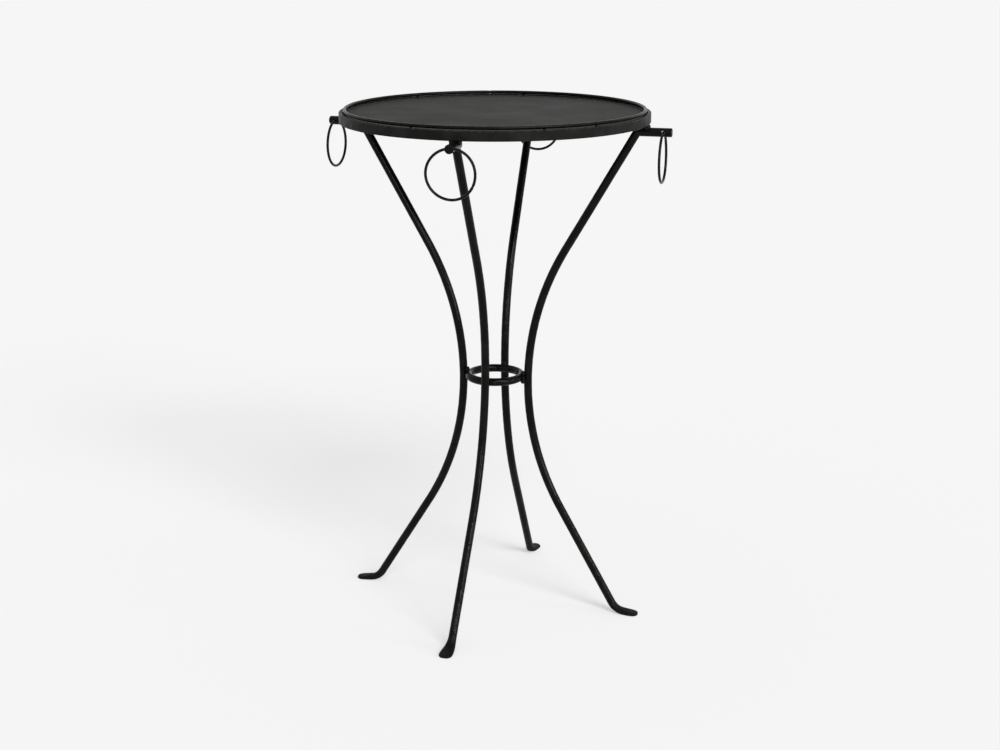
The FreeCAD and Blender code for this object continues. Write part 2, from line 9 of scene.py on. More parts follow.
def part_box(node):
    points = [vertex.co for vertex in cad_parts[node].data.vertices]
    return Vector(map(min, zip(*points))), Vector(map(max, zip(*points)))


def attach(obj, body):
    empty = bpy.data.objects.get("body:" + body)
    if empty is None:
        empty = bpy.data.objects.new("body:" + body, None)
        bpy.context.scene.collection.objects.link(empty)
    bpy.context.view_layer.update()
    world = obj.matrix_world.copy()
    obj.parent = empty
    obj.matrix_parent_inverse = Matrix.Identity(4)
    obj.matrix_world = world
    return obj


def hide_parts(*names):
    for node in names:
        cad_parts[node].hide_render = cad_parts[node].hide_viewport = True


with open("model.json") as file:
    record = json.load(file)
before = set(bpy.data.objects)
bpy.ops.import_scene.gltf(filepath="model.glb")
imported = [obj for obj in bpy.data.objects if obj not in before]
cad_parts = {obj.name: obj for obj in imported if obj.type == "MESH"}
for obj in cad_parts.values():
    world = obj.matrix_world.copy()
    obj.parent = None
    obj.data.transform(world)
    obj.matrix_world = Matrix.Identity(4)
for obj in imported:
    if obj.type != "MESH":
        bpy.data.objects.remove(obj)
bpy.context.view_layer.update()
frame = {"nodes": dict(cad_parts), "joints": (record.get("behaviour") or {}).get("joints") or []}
nodes = frame["nodes"]
joints = {joint["name"]: joint for joint in frame["joints"]}

SIDES = ("front", "right", "back", "left")
UP = Vector((0, 0, 1))


# Node trees, for paint and for form

CELL_SMOOTHNESS = 0.35


class Graph:
    """A node tree being laid out, with short ways to add nodes and feed their sockets."""

    def __init__(self, tree):
        self.tree = tree

    def feed(self, socket, value):
        if isinstance(value, bpy.types.NodeSocket):
            self.tree.links.new(value, socket)
        else:
            socket.default_value = value

    def use(self, kind, feeds=None, out=0, **props):
        """Adds a node, feeds its sockets by name or number, and returns one output."""
        node = self.tree.nodes.new(kind)
        for name, value in props.items():
            setattr(node, name, value)
        for key, value in (feeds or {}).items():
            self.feed(node.inputs[key], value)
        return node.outputs[out]

    def maths(self, operation, *values):
        return self.use("ShaderNodeMath", dict(enumerate(values)), operation=operation)

    def vector(self, operation, *values):
        out = "Value" if operation in ("DOT_PRODUCT", "LENGTH") else "Vector"
        return self.use("ShaderNodeVectorMath", dict(enumerate(values)), out, operation=operation)

    def scaled(self, vector, factor):
        return self.use("ShaderNodeVectorMath", {0: vector, "Scale": factor}, operation="SCALE")

    def spread(self, value, low, high, out_low=0.0, out_high=1.0):
        """Smooth step of a value, clamped, from one range to another."""
        feeds = {"Value": value, "From Min": low, "From Max": high,
                 "To Min": out_low, "To Max": out_high}
        return self.use("ShaderNodeMapRange", feeds, "Result", interpolation_type="SMOOTHSTEP")

    def axis_of(self, vector, axis):
        return self.use("ShaderNodeSeparateXYZ", {0: vector}, axis)

    def noise(self, place, scale, detail=2.0, roughness=0.5):
        feeds = {"Vector": place, "Scale": scale, "Detail": detail, "Roughness": roughness}
        return self.use("ShaderNodeTexNoise", feeds, "Fac")

    def cells(self, place, scale):
        """Distance to the nearest of scattered points, for hammer dents and pits."""
        feeds = {"Vector": place, "Scale": scale, "Smoothness": CELL_SMOOTHNESS}
        return self.use("ShaderNodeTexVoronoi", feeds, "Distance", feature="SMOOTH_F1")


# Lacquers, on Object coordinates, in metres

# A blend node has sockets of the same name for each kind of data: these are for colours.
FIRST_COLOUR, SECOND_COLOUR, MIXED_COLOUR = 6, 7, 2


class Paint(Graph):
    """A lacquer being mixed, around one Principled shader."""

    def __init__(self, name, colour, roughness, specular):
        self.material = bpy.data.materials.new(name)
        self.material.use_nodes = True
        super().__init__(self.material.node_tree)
        self.shader = self.tree.nodes["Principled BSDF"]
        self.shader.inputs["Base Color"].default_value = (*colour, 1)
        self.shader.inputs["Roughness"].default_value = roughness
        self.shader.inputs["Specular IOR Level"].default_value = specular
        self.place = self.use("ShaderNodeTexCoord", out="Object")

    def blend(self, share, first, second):
        feeds = {"Factor": share}
        for key, colour in ((FIRST_COLOUR, first), (SECOND_COLOUR, second)):
            feeds[key] = colour if isinstance(colour, bpy.types.NodeSocket) else (*colour, 1)
        return self.use("ShaderNodeMix", feeds, MIXED_COLOUR, data_type="RGBA")

    def height(self):
        return self.axis_of(self.place, "Z")

    def reach(self):
        """Distance from the table's upright axis."""
        return self.vector("LENGTH", self.vector("MULTIPLY", self.place, (1.0, 1.0, 0.0)))

    def bump(self, layers):
        """Stacks (height field, depth in metres) layers onto the shader's normal."""
        normal = None
        for field, depth in layers:
            feeds = {"Height": field, "Distance": depth}
            if normal is not None:
                feeds["Normal"] = normal
            normal = self.use("ShaderNodeBump", feeds)
        self.feed(self.shader.inputs["Normal"], normal)


BLACK = (0.0020, 0.0020, 0.0018)
DULL_BLACK = (0.0045, 0.0043, 0.0038)
HOOP_COLOURS = ((0.0052, 0.0052, 0.0048), (0.0100, 0.0098, 0.0090))
# Lighter brown for rubbed wear, which also serves as a painted highlight on the hoop's top edge and
# the lip wire's crest
RUB_AND_HIGHLIGHT = (0.032, 0.028, 0.022)
DUST = (0.040, 0.037, 0.032)
RUST = (0.022, 0.010, 0.006)
RUST_SHARE = 0.5

# How many features of each pattern lie along a metre
CLOUD_SCALE, SPECK_SCALE, PATCH_SCALE, DUST_SCALE = 38.0, 420.0, 160.0, 220.0
GLOSS_SCALE, GRAIN_SCALE = 75.0, 900.0

# Between which values of its noise each pattern sets in
CLOUD_EDGES, SPECK_EDGES, PATCH_EDGES = (0.40, 0.66), (0.68, 0.78), (0.42, 0.60)
DUST_EDGES, GLOSS_EDGES = (0.42, 0.68), (0.3, 0.7)

# Roughness beyond the lacquer's own, on its glossiest and dullest patches and where it is scuffed
GLOSSIER, DULLER, SCUFF_ROUGHNESS = -0.07, 0.08, 0.45

GRAIN_DEPTH = 0.000008
HAMMER_SIZE, HAMMER_DEPTH = 0.0026, 0.00035


def lacquer(name, roughness, specular, dent_size, dent_depth, colours=(BLACK, DULL_BLACK),
            rub_and_highlight=None, dust=None, hammered=None, scuffed=None):
    """Black satin lacquer on forged steel, cloudy and dented.

    Masks say where it is rubbed and carries a painted highlight, dusty, hammered, or scuffed until
    it is less glossy.
    """
    paint = Paint(name, colours[0], roughness, specular)
    clouds = paint.noise(paint.place, CLOUD_SCALE, detail=3.0)
    colour = paint.blend(paint.spread(clouds, *CLOUD_EDGES), *colours)
    specks = paint.noise(paint.place, SPECK_SCALE, roughness=0.6)
    rusty = paint.spread(specks, *SPECK_EDGES, out_high=RUST_SHARE)
    colour = paint.blend(rusty, colour, RUST)
    # Rubbed wear in patches, which is also a painted highlight: a lighter colour along lit edges
    # and crests
    if rub_and_highlight is not None:
        patches = paint.noise(paint.place, PATCH_SCALE, detail=4.0, roughness=0.65)
        worn_with_highlight = paint.maths("MULTIPLY", rub_and_highlight(paint), paint.spread(patches, *PATCH_EDGES))
        colour = paint.blend(worn_with_highlight, colour, RUB_AND_HIGHLIGHT)
    if dust is not None:
        colour = paint.blend(dust(paint), colour, DUST)
    paint.feed(paint.shader.inputs["Base Color"], colour)
    gloss = paint.spread(paint.noise(paint.place, GLOSS_SCALE, detail=3.0), *GLOSS_EDGES,
                         roughness + GLOSSIER, roughness + DULLER)
    if scuffed is not None:
        gloss = paint.maths("MULTIPLY_ADD", scuffed(paint), SCUFF_ROUGHNESS, gloss)
    paint.feed(paint.shader.inputs["Roughness"], gloss)
    grain = paint.noise(paint.place, GRAIN_SCALE)
    layers = [(paint.cells(paint.place, 1.0 / dent_size), dent_depth), (grain, GRAIN_DEPTH)]
    if hammered is not None:
        blows = paint.cells(paint.place, 1.0 / HAMMER_SIZE)
        layers.append((paint.maths("MULTIPLY", blows, hammered(paint)), HAMMER_DEPTH))
    paint.bump(layers)
    return paint.material


def near(paint, value, middle, width):
    """1 at a middle value, falling to 0 a width away on both sides."""
    away = paint.maths("ABSOLUTE", paint.maths("SUBTRACT", value, middle))
    return paint.spread(away, 0.0, width, 1.0, 0.0)


# How far the masks reach, in metres, and the shares that two of them start or end at
EDGE_DROP, EDGE_WIDTH, CREST_DROP = 0.0016, 0.0018, 0.0010
DUST_BELOW, DUST_GONE, DUST_SHARE = 0.0004, 0.0030, 0.35
FORGED_BELOW, FORGED_GONE, FORGED_LEAST = 0.035, 0.11, 0.12
SCUFF_BELOW, SCUFF_GONE = 0.006, 0.022


def hoop_edge_wear_and_highlight(paint):
    """The hoop's outer top edge, where hands and trays rub it, painted lighter also as a highlight
    for the light the edge catches.
    """
    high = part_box("rim_band")[1]
    return paint.maths("MULTIPLY", near(paint, paint.height(), high.z, EDGE_DROP),
                       near(paint, paint.reach(), high.x, EDGE_WIDTH))


def wire_crest_wear_and_highlight(paint):
    """The top of the lip wire, painted lighter as a highlight where light falls on it, and as
    rubbed wear.
    """
    return near(paint, paint.height(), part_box("lip_ring")[1].z, CREST_DROP)


def floor_dust(paint):
    """Pale dust on the lowest few millimetres of each foot."""
    low = paint.spread(paint.height(), DUST_BELOW, DUST_GONE, DUST_SHARE, 0.0)
    patches = paint.noise(paint.place, DUST_SCALE, detail=4.0)
    return paint.maths("MULTIPLY", low, paint.spread(patches, *DUST_EDGES))


def forged_end(paint):
    """Where the smith's hammer worked the foot, fading out up the bar."""
    return paint.spread(paint.height(), FORGED_BELOW, FORGED_GONE, 1.0, FORGED_LEAST)


def foot_blade(paint):
    """The blade of the foot, which shoes and mops scuff."""
    return paint.spread(paint.height(), SCUFF_BELOW, SCUFF_GONE, 1.0, 0.0)


BAR_PAINT = lacquer("bar_lacquer", roughness=0.15, specular=0.075, dent_size=0.0070,
                    dent_depth=0.00012, dust=floor_dust, hammered=forged_end, scuffed=foot_blade)
# The hoop's top edge and the lip's crest are painted lighter: rubbed wear with a painted highlight
# in it
HOOP_PAINT = lacquer("hoop_lacquer", roughness=0.46, specular=0.07, dent_size=0.0120,
                     dent_depth=0.00014, colours=HOOP_COLOURS, rub_and_highlight=hoop_edge_wear_and_highlight)
LIP_PAINT = lacquer("lip_lacquer", roughness=0.28, specular=0.08, dent_size=0.0060,
                    dent_depth=0.00012, rub_and_highlight=wire_crest_wear_and_highlight)
RING_PAINT = lacquer("ring_lacquer", roughness=0.18, specular=0.10, dent_size=0.0040,
                     dent_depth=0.00002)
WELD_PAINT = lacquer("weld_lacquer", roughness=0.28, specular=0.11, dent_size=0.0025,
                     dent_depth=0.00012)

SHEET_COLOURS = ((0.0085, 0.0085, 0.0079), (0.0140, 0.0137, 0.0122))
SHEET_DUST, SHEET_DUST_SHARE = (0.030, 0.028, 0.025), 0.5
SHEET_GLOSSY, SHEET_DULL, SHEET_SPECULAR = 0.56, 0.68, 0.085
WIPE_SCALE, FINE_SCALE, WAVE_SCALE = 9.0, 480.0, 14.0
WIPE_EDGES, FINE_EDGES = (0.35, 0.7), (0.60, 0.80)
WAVE_DEPTH, FINE_DEPTH = 0.0006, 0.00003


def sheet_paint():
    """Satin lacquer on the sheet top: faint wipe marks, settled dust and a slight waviness."""
    paint = Paint("sheet_lacquer", SHEET_COLOURS[0], SHEET_GLOSSY, SHEET_SPECULAR)
    wiped = paint.noise(paint.place, WIPE_SCALE, detail=4.0, roughness=0.6)
    fine = paint.noise(paint.place, FINE_SCALE, detail=3.0, roughness=0.6)
    colour = paint.blend(paint.spread(wiped, *WIPE_EDGES), *SHEET_COLOURS)
    dusty = paint.spread(fine, *FINE_EDGES, out_high=SHEET_DUST_SHARE)
    colour = paint.blend(dusty, colour, SHEET_DUST)
    paint.feed(paint.shader.inputs["Base Color"], colour)
    gloss = paint.spread(wiped, *GLOSS_EDGES, SHEET_GLOSSY, SHEET_DULL)
    paint.feed(paint.shader.inputs["Roughness"], gloss)
    paint.bump([(paint.noise(paint.place, WAVE_SCALE), WAVE_DEPTH), (fine, FINE_DEPTH)])
    return paint.material


SHEET_PAINT = sheet_paint()


def dress(names, material):
    """Gives CAD pieces that keep their own shape a lacquer."""
    for name in names:
        mesh = nodes[name].data
        mesh.materials.clear()
        mesh.materials.append(material)


dress(["peg_" + side for side in SIDES] + ["panel_ledge", "waist_ring"], BAR_PAINT)
dress(["rim_band"], HOOP_PAINT)
dress(["top_panel"], SHEET_PAINT)


# Forms grown by geometry nodes

SOCKETS = {"float": "NodeSocketFloat", "vector": "NodeSocketVector", "whole": "NodeSocketInt"}
MERGE_DISTANCE = 0.00002


class Form(Graph):
    """A geometry node tree with named inputs, which ends in one painted mesh."""

    def __init__(self, name, **inputs):
        super().__init__(bpy.data.node_groups.new(name, "GeometryNodeTree"))
        sockets = self.tree.interface
        sockets.new_socket("Geometry", in_out="INPUT", socket_type="NodeSocketGeometry")
        for key, kind in inputs.items():
            sockets.new_socket(key, in_out="INPUT", socket_type=SOCKETS[kind])
        sockets.new_socket("paint", in_out="INPUT", socket_type="NodeSocketMaterial")
        sockets.new_socket("Geometry", in_out="OUTPUT", socket_type="NodeSocketGeometry")
        self.given = self.tree.nodes.new("NodeGroupInput").outputs
        self.place = self.use("GeometryNodeInputPosition")

    def move(self, shape, place=None, offset=(0.0, 0.0, 0.0)):
        feeds = {"Geometry": shape, "Offset": offset}
        if place is not None:
            feeds["Position"] = place
        return self.use("GeometryNodeSetPosition", feeds)

    def dented(self, shape, depth):
        """Sinks the surface along its normals by a depth field."""
        inwards = self.scaled(self.use("GeometryNodeInputNormal"),
                              self.maths("MULTIPLY", depth, -1.0))
        return self.move(shape, offset=inwards)

    def finish(self, shape):
        """Closes seams, smooths, and paints the result."""
        shape = self.use("GeometryNodeMergeByDistance",
                         {"Geometry": shape, "Distance": MERGE_DISTANCE})
        shape = self.use("GeometryNodeSetShadeSmooth", {"Geometry": shape, "Shade Smooth": True})
        shape = self.use("GeometryNodeRealizeInstances", {"Geometry": shape})
        shape = self.use("GeometryNodeSetMaterial",
                         {"Geometry": shape, "Material": self.given["paint"]})
        self.feed(self.tree.nodes.new("NodeGroupOutput").inputs["Geometry"], shape)
        return self


def grow(name, form, start=None, place=None, **settings):
    """Runs a form and keeps its result as a plain mesh, moved to its place."""
    piece = bpy.data.objects.new(name, start or bpy.data.meshes.new(name + "_start"))
    bpy.context.scene.collection.objects.link(piece)
    step = piece.modifiers.new("form", "NODES")
    step.node_group = form.tree
    for item in form.tree.interface.items_tree:
        if item.in_out == "INPUT" and item.name in settings:
            step[item.identifier] = settings[item.name]
    grown = piece.evaluated_get(bpy.context.evaluated_depsgraph_get())
    mesh = bpy.data.meshes.new_from_object(grown)
    piece.modifiers.clear()
    piece.data = mesh
    mesh.name = name
    if place is not None:
        mesh.transform(place)
    return piece


# Legs: a round bar along two limbs, its end forged through the bend to a spoon-shaped foot

BEND_POINTS, BAR_SEGMENTS = 60, 24

# Powers of the section's outline: an ellipse has 2, and the forged foot's is squarer
ROUND, EXTRA_SQUARENESS = 2.0, 1.2

# How far from its middle a dent ends, as a share of its size
DENT_EDGE = 0.6

# The corner sockets of the quadrilateral in its points mode
CORNER_SOCKETS = (7, 8, 9, 10)


def bar_leg_form():
    """A bar from its top over waist and corner to its tip, cut level, its end forged to a foot."""
    form = Form("forged_bar_leg", top="vector", waist="vector", corner="vector", tip="vector",
                waist_bend="float", foot_bend="float", bar="float", foot_width="float",
                foot_thickness="float", flare_length="float", nose_length="float",
                rim_length="float", overrun="float", ring_spacing="float", dent="float",
                dent_size="float", foot_dent="float", foot_dent_size="float")
    given, maths, vector = form.given, form.maths, form.vector
    downwards = vector("NORMALIZE", vector("SUBTRACT", given["waist"], given["top"]))
    start = vector("SUBTRACT", given["top"], form.scaled(downwards, given["overrun"]))
    points = (start, given["waist"], given["corner"], given["tip"])
    corners = form.use("GeometryNodeCurvePrimitiveQuadrilateral",
                       dict(zip(CORNER_SOCKETS, points)), mode="POINTS")
    line = form.use("GeometryNodeSetSplineCyclic", {"Geometry": corners, "Cyclic": False})

    # a bend radius for each point: the switch starts with two items, and the ends stay at 0
    bends = form.tree.nodes.new("GeometryNodeIndexSwitch")
    bends.data_type = "FLOAT"
    for point in points[2:]:
        bends.index_switch_items.new()
    form.feed(bends.inputs["Index"], form.use("GeometryNodeInputIndex"))
    form.feed(bends.inputs["1"], given["waist_bend"])
    form.feed(bends.inputs["2"], given["foot_bend"])
    line = form.use("GeometryNodeFilletCurve",
                    {"Curve": line, "Count": BEND_POINTS, "Radius": bends.outputs[0],
                     "Limit Radius": True}, mode="POLY")
    line = form.use("GeometryNodeResampleCurve", {"Curve": line, "Length": given["ring_spacing"]},
                    mode="LENGTH")

    # every point of the tube keeps its section's middle, heading and distance from the tip
    run = form.use("GeometryNodeSplineParameter", out="Length")
    left = maths("SUBTRACT", form.use("GeometryNodeSplineLength", out="Length"), run)
    keep = form.tree.nodes.new("GeometryNodeCaptureAttribute")
    for kind, name, value in (("VECTOR", "middle", form.place), ("FLOAT", "left", left),
                              ("VECTOR", "heading", form.use("GeometryNodeInputTangent"))):
        keep.capture_items.new(kind, name)
        form.feed(keep.inputs[name], value)
    form.feed(keep.inputs["Geometry"], line)
    radius = maths("DIVIDE", given["bar"], 2.0)
    section = form.use("GeometryNodeCurvePrimitiveCircle",
                       {"Resolution": BAR_SEGMENTS, "Radius": radius}, mode="RADIUS")
    tube = form.use("GeometryNodeCurveToMesh", {"Curve": keep.outputs["Geometry"],
                                                "Profile Curve": section, "Fill Caps": True})
    middle, left, heading = (keep.outputs[name] for name in ("middle", "left", "heading"))

    # place in the section: across is level, over points to the inside of the foot bend
    pointing = vector("SUBTRACT", given["tip"], given["corner"])
    across = vector("NORMALIZE", vector("CROSS_PRODUCT", pointing, UP))
    over = vector("NORMALIZE", vector("CROSS_PRODUCT", across, heading))
    spoke = form.scaled(vector("SUBTRACT", form.place, middle), maths("DIVIDE", 1.0, radius))
    side = vector("DOT_PRODUCT", spoke, across)
    rise = vector("DOT_PRODUCT", spoke, over)

    # the forging: wider, thinner and squarer towards the tip, with a round nose and rim
    forged = form.spread(left, given["flare_length"], given["nose_length"])
    drawn = form.spread(left, given["flare_length"], 0.0)
    squareness = maths("MULTIPLY_ADD", forged, EXTRA_SQUARENESS, ROUND)
    powers = maths("ADD", maths("POWER", maths("ABSOLUTE", side), squareness),
                   maths("POWER", maths("ABSOLUTE", rise), squareness))
    corner = maths("POWER", powers, maths("DIVIDE", -1.0, squareness))

    def rounded(length):
        """Share of the full size at a distance from the tip, along a quarter ellipse."""
        inset = maths("MAXIMUM", maths("SUBTRACT", 1.0, maths("DIVIDE", left, length)), 0.0)
        return maths("SQRT", maths("SUBTRACT", 1.0, maths("MULTIPLY", inset, inset)))

    wider = maths("SUBTRACT", given["foot_width"], given["bar"])
    thicker = maths("SUBTRACT", given["foot_thickness"], given["bar"])
    width = maths("MULTIPLY_ADD", wider, forged, given["bar"])
    thickness = maths("MULTIPLY_ADD", thicker, drawn, given["bar"])
    sunk = maths("DIVIDE", maths("SUBTRACT", thickness, given["bar"]), 2.0)
    half_width = maths("DIVIDE", maths("MULTIPLY", width, rounded(given["nose_length"])), 2.0)
    half_thick = maths("DIVIDE", maths("MULTIPLY", thickness, rounded(given["rim_length"])), 2.0)
    sideways = form.scaled(across, maths("MULTIPLY", maths("MULTIPLY", side, corner), half_width))
    height = maths("ADD", maths("MULTIPLY", maths("MULTIPLY", rise, corner), half_thick), sunk)
    placed = vector("ADD", sideways, form.scaled(over, height))
    shape = form.move(tube, vector("ADD", middle, placed))

    # hammer marks, deeper and smaller on the foot, none where the bar is cut under the hoop
    cells = (form.cells(form.place, maths("DIVIDE", 1.0, given[size]))
             for size in ("dent_size", "foot_dent_size"))
    dents, blows = (form.spread(cell, 0.0, DENT_EDGE, 1.0, 0.0) for cell in cells)
    depth = maths("ADD", maths("MULTIPLY", dents, given["dent"]),
                  maths("MULTIPLY", maths("MULTIPLY", blows, given["foot_dent"]), drawn))
    top_height, here = form.axis_of(given["top"], "Z"), form.axis_of(form.place, "Z")
    under_cut = maths("SUBTRACT", top_height, here)
    plain_end = form.spread(under_cut, 0.0, radius)
    shape = form.dented(shape, maths("MULTIPLY", maths("MULTIPLY", depth, plain_end),
                                     rounded(given["nose_length"])))

    # cut level along the bar under the hoop, and flat on the floor
    above = maths("MAXIMUM", maths("SUBTRACT", here, top_height), 0.0)
    slope = maths("ABSOLUTE", form.axis_of(downwards, "Z"))
    shape = form.move(shape, offset=form.scaled(downwards, maths("DIVIDE", above, slope)))
    below = maths("MAXIMUM", maths("MULTIPLY", here, -1.0), 0.0)
    shape = form.move(shape, offset=form.scaled(UP, below))
    return form.finish(shape)


def corners_of(points):
    """Lowest and highest corner of the box round some points."""
    return tuple(Vector([pick(point[axis] for point in points) for axis in range(3)])
                 for pick in (min, max))


def level_cut(name, height):
    """Lowest and highest corner of what a level plane cuts out of a node."""
    mesh = nodes[name].data
    hits = []
    for edge in mesh.edges:
        first, second = (mesh.vertices[index].co for index in edge.vertices)
        if (first.z - height) * (second.z - height) < 0:
            hits.append(first.lerp(second, (height - first.z) / (second.z - first.z)))
    return corners_of(hits)


def bar_middle(name, height):
    """Middle of a leg's bar at a height."""
    low, high = level_cut(name, height)
    return (low + high) / 2


def line_at(first, second, height):
    """Point at a height on the line through two points."""
    return first.lerp(second, (height - first.z) / (second.z - first.z))


# Heights on the straight limbs, as shares of the leg's height, and sizes as shares of the bar.
UPPER_SHARES, LOWER_SHARES = (0.80, 0.94), (0.08, 0.20)
LEG_SHARES = {"foot_bend": 1.83, "foot_width": 1.66, "foot_thickness": 0.38, "flare_length": 3.75,
              "nose_length": 0.80, "rim_length": 0.15, "overrun": 0.6, "ring_spacing": 0.1,
              "dent": 0.012, "dent_size": 0.75, "foot_dent": 0.022, "foot_dent_size": 0.40}
SOLE_SINK_SHARE = 0.067


def make_leg(side, form):
    """A leg whose limbs, waist, bend, bar and tip are read off the CAD leg."""
    name = "leg_" + side
    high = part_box(name)[1].z
    upper = [bar_middle(name, high * share) for share in UPPER_SHARES]
    lower = [bar_middle(name, high * share) for share in LOWER_SHARES]
    low_corner, high_corner = level_cut(name, high * UPPER_SHARES[1])
    bar = min(high_corner.x - low_corner.x, high_corner.y - low_corner.y)
    waist = sum(intersect_line_line(*upper, *lower), Vector()) / 2
    turn = (upper[1] - upper[0]).angle(lower[0] - lower[1])
    half = (math.pi - turn) / 2
    inset = (waist - bar_middle(name, waist.z)).length
    bend = inset / (1 / math.cos(half) - 1)
    floor_line = bar * (0.5 - SOLE_SINK_SHARE)
    corner = line_at(*lower, floor_line)
    low_points = (v.co for v in nodes[name].data.vertices if v.co.z < bar)
    tip = max(low_points, key=lambda point: (point.xy - corner.xy).length)
    sizes = {key: share * bar for key, share in LEG_SHARES.items()}
    leg = grow("forged_" + name, form, bar=bar, waist_bend=bend, top=line_at(*upper, high),
               waist=waist, corner=corner, tip=Vector((tip.x, tip.y, floor_line)), paint=BAR_PAINT,
               **sizes)
    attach(leg, "frame")
    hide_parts(name)


LEG_FORM = bar_leg_form()
for side in SIDES:
    make_leg(side, LEG_FORM)


# Loops of round wire, closed by a butt joint

WIRE_SEGMENTS = 14

# How many waves of unevenness there are round a loop, up and down and in and out
RISES, SQUEEZES = 2.0, 3.0


def wire_loop_form():
    """A slightly uneven circle of wire, drawn in at its butt joint."""
    form = Form("wire_loop", radius="float", wire="float", points="whole", joint_turn="float",
                groove="float", groove_width="float", sway="float")
    given, maths = form.given, form.maths
    circle = form.use("GeometryNodeCurvePrimitiveCircle",
                      {"Resolution": given["points"], "Radius": given["radius"]}, mode="RADIUS")
    turn = maths("MULTIPLY", form.use("GeometryNodeSplineParameter", out="Factor"), 2 * math.pi)
    from_top = maths("SUBTRACT", turn, math.pi / 2)
    waves = (maths("SINE", maths("MULTIPLY", from_top, times)) for times in (RISES, SQUEEZES))
    lift, shrink = (maths("MULTIPLY", wave, given["sway"]) for wave in waves)
    outwards = form.use("ShaderNodeVectorMath", {0: form.place}, operation="NORMALIZE")
    offset = form.vector("ADD", form.scaled(UP, lift), form.scaled(outwards, shrink))
    from_joint = maths("SUBTRACT", turn, given["joint_turn"])
    away = maths("ABSOLUTE", maths("MULTIPLY", from_joint, given["radius"]))
    least = maths("SUBTRACT", 1.0, given["groove"])
    scale = form.spread(away, 0.0, given["groove_width"], least, 1.0)
    line = form.move(circle, offset=offset)
    section = form.use("GeometryNodeCurvePrimitiveCircle",
                       {"Resolution": WIRE_SEGMENTS, "Radius": maths("DIVIDE", given["wire"], 2.0)},
                       mode="RADIUS")
    return form.finish(form.use("GeometryNodeCurveToMesh",
                                {"Curve": line, "Profile Curve": section, "Scale": scale}))


LOOP_FORM = wire_loop_form()
RING_POINTS, LIP_POINTS = 120, 400

# Where each loop's butt joint lies, in radians round the loop
RING_JOINT_TURNS, LIP_JOINT_TURN = {"front": 3.6, "right": 5.2, "back": 4.3, "left": 3.9}, 1.9

# Shares of the wire: how deep and how wide the joint's groove is, and how far the loop sways
RING_GROOVE_SHARE, RING_GROOVE_WIDTH_SHARE, RING_SWAY_SHARE = 0.2, 0.4, 0.06
LIP_GROOVE_SHARE, LIP_GROOVE_WIDTH_SHARE, LIP_SWAY_SHARE = 0.12, 0.5, 0.02


def make_ring(side):
    """A hanging ring: a wire loop that stands in the plane of its cross hole, below the hole."""
    hinge = joints["ring_swing_" + side]
    hole, along = Vector(hinge["pos_m"]), Vector(hinge["axis"])
    low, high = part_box("hanging_ring_" + side)
    radius = hole.z - (low.z + high.z) / 2
    wire = high.z - low.z - 2 * radius
    place = Matrix((along, UP, along.cross(UP))).transposed().to_4x4()
    place.translation = hole - UP * radius
    ring = grow("wire_ring_" + side, LOOP_FORM, place=place, radius=radius, wire=wire,
                points=RING_POINTS, joint_turn=RING_JOINT_TURNS[side], groove=RING_GROOVE_SHARE,
                groove_width=wire * RING_GROOVE_WIDTH_SHARE, sway=wire * RING_SWAY_SHARE,
                paint=RING_PAINT)
    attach(ring, "ring_" + side)
    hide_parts("hanging_ring_" + side)


for side in SIDES:
    make_ring(side)


def make_lip():
    """The lip: a larger wire loop that lies on its tacks above the hoop."""
    low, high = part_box("lip_ring")
    wire = high.z - low.z
    sway = wire * LIP_SWAY_SHARE
    place = Matrix.Translation((0, 0, (low.z + high.z) / 2 - sway))
    lip = grow("lip_wire", LOOP_FORM, place=place, radius=high.x - wire / 2 - sway, wire=wire,
               points=LIP_POINTS, joint_turn=LIP_JOINT_TURN, groove=LIP_GROOVE_SHARE,
               groove_width=wire * LIP_GROOVE_WIDTH_SHARE, sway=sway, paint=LIP_PAINT)
    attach(lip, "frame")
    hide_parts("lip_ring")


make_lip()


# Weld beads: short rows of overlapping ripples, one row for each bead of the frame

# On a bead of half length 1: where the row starts, and how long each ripple is
ROW_START, RIPPLE_LENGTH = -0.65, 0.33
RIPPLE_SEGMENTS, RIPPLE_RINGS = 14, 9
LEAST_BEAD, MOST_BEAD = 0.9, 1.0
PIT_DEPTH, PIT_SIZE, PIT_EDGES = 0.00015, 0.0012, (0.35, 0.65)

# The random value node's sockets for a plain number
RANDOM_LEAST, RANDOM_MOST, RANDOM_VALUE = 2, 3, 1


